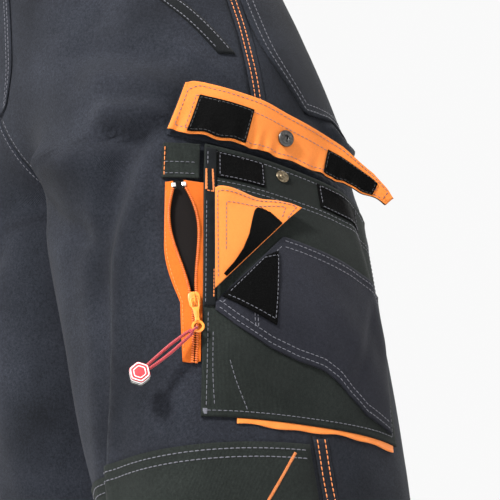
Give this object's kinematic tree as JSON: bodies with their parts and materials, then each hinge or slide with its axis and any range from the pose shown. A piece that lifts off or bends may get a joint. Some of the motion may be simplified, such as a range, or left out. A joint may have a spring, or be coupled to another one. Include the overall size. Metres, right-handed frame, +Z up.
{
  "type": "forestry trousers",
  "caption": "Cut-protection forestry trousers with a flapped thigh cargo pocket, a side zip pocket with a corded puller, a phone pocket, knee patches and leg pads.",
  "frame": {"origin": "centre of the waist opening, at its top edge", "axes": "+Z up, out of the waist; the wearer faces -Y and the wearer's left leg, with the cargo pocket, is at +X"},
  "size_m": [0.537, 0.2487, 1.05],
  "materials": {
    "stretch_cloth": "matt stretch twill",
    "dark_cloth": "matt",
    "canvas": "matt canvas",
    "navy_cloth": "matt",
    "orange_cloth": "satin",
    "pocket_lining_cloth": "matt",
    "pad_fibre": "layered loose fibre",
    "loop_fastener": "fuzzy",
    "hook_fastener": "hooked",
    "orange_tape": "woven tape",
    "orange_plastic": "gloss",
    "orange_paint": "satin",
    "stop_metal": "satin",
    "slider_metal": "antique",
    "stud_brass": "antique",
    "socket_metal": "dark",
    "button": "matt",
    "red_cord": "braided",
    "charm_rubber": "satin"
  },
  "bodies": {
    "garment": {"front_panel_left": "stretch_cloth", "front_panel_right": "stretch_cloth", "back_panel_left": "stretch_cloth", "back_panel_right": "stretch_cloth", "waistband": "dark_cloth", "belt_loop_front_left": "stretch_cloth", "belt_loop_front_right": "stretch_cloth", "belt_loop_side_left": "stretch_cloth", "belt_loop_side_right": "stretch_cloth", "belt_loop_back_left": "stretch_cloth", "belt_loop_back_right": "stretch_cloth", "waist_button": "button", "fly_placket": "stretch_cloth", "fly_zip_tape": "dark_cloth", "front_pocket_welt_left": "dark_cloth", "front_pocket_welt_right": "dark_cloth", "front_pocket_bag_left": "pocket_lining_cloth", "front_pocket_bag_right": "pocket_lining_cloth", "back_pocket_left": "stretch_cloth", "back_pocket_right": "stretch_cloth", "knee_patch_left": "canvas", "knee_patch_right": "canvas", "hem_band_left": "stretch_cloth", "hem_band_right": "stretch_cloth", "protective_pad_left": "pad_fibre", "protective_pad_right": "pad_fibre", "cargo_pocket": "canvas", "pocket_lining": "orange_cloth", "front_binding": "dark_cloth", "loop_patch_front": "loop_fastener", "loop_patch_rear": "loop_fastener", "snap_stud": "stud_brass", "phone_pocket": "navy_cloth", "phone_loop_patch": "loop_fastener", "tab_panel": "canvas", "zip_teeth_front": "orange_plastic", "zip_teeth_rear": "orange_plastic", "zip_tape_front": "orange_tape", "zip_tape_rear": "orange_tape", "zip_stop_front": "stop_metal", "zip_stop_rear": "stop_metal", "flap_welt": "stretch_cloth"},
    "fly_slider": {"fly_zip_slider": "slider_metal"},
    "cargo_flap_body": {"cargo_flap": "orange_cloth", "hook_patch_front": "hook_fastener", "hook_patch_rear": "hook_fastener", "snap_socket": "socket_metal"},
    "phone_flap_body": {"phone_flap": "orange_cloth", "phone_hook_patch": "hook_fastener"},
    "slider_body": {"zip_slider": "orange_paint"},
    "puller_body": {"zip_puller": "orange_paint"},
    "pull_cord_body": {"cord_hitch": "red_cord", "cord_strand_upper": "red_cord", "cord_strand_lower": "red_cord", "pull_charm": "charm_rubber"}
  },
  "joints": [
    {"name": "fly_zip_slide", "type": "slide", "parent": "garment", "child": "fly_slider", "axis": [0, -0.0174, -0.9998], "range_m": [0, 0.092]},
    {"name": "cargo_flap_hinge", "type": "hinge", "parent": "garment", "child": "cargo_flap_body", "pos_m": [0.20734, 0.01358, -0.27775], "axis": [0.0014, 0.9627, -0.2706], "range_deg": [0, 135]},
    {"name": "phone_flap_hinge", "type": "hinge", "parent": "garment", "child": "phone_flap_body", "pos_m": [0.2209, -0.02223, -0.36095], "axis": [0.0624, 0.7734, 0.6308], "range_deg": [0, 150]},
    {"name": "side_zip_slide", "type": "slide", "parent": "garment", "child": "slider_body", "axis": [-0.1036, 0.0505, 0.9933], "range_m": [0, 0.078]},
    {"name": "zip_puller_hinge", "type": "hinge", "parent": "slider_body", "child": "puller_body", "pos_m": [0.20949, -0.06542, -0.38998], "axis": [-0.3956, -0.9184, 0.0054], "range_deg": [0, 110]},
    {"name": "pull_cord_swing", "type": "hinge", "parent": "puller_body", "child": "pull_cord_body", "pos_m": [0.21167, -0.06648, -0.41084], "axis": [0.9125, -0.3924, 0.1152], "range_deg": [-40, 30]}
  ]
}
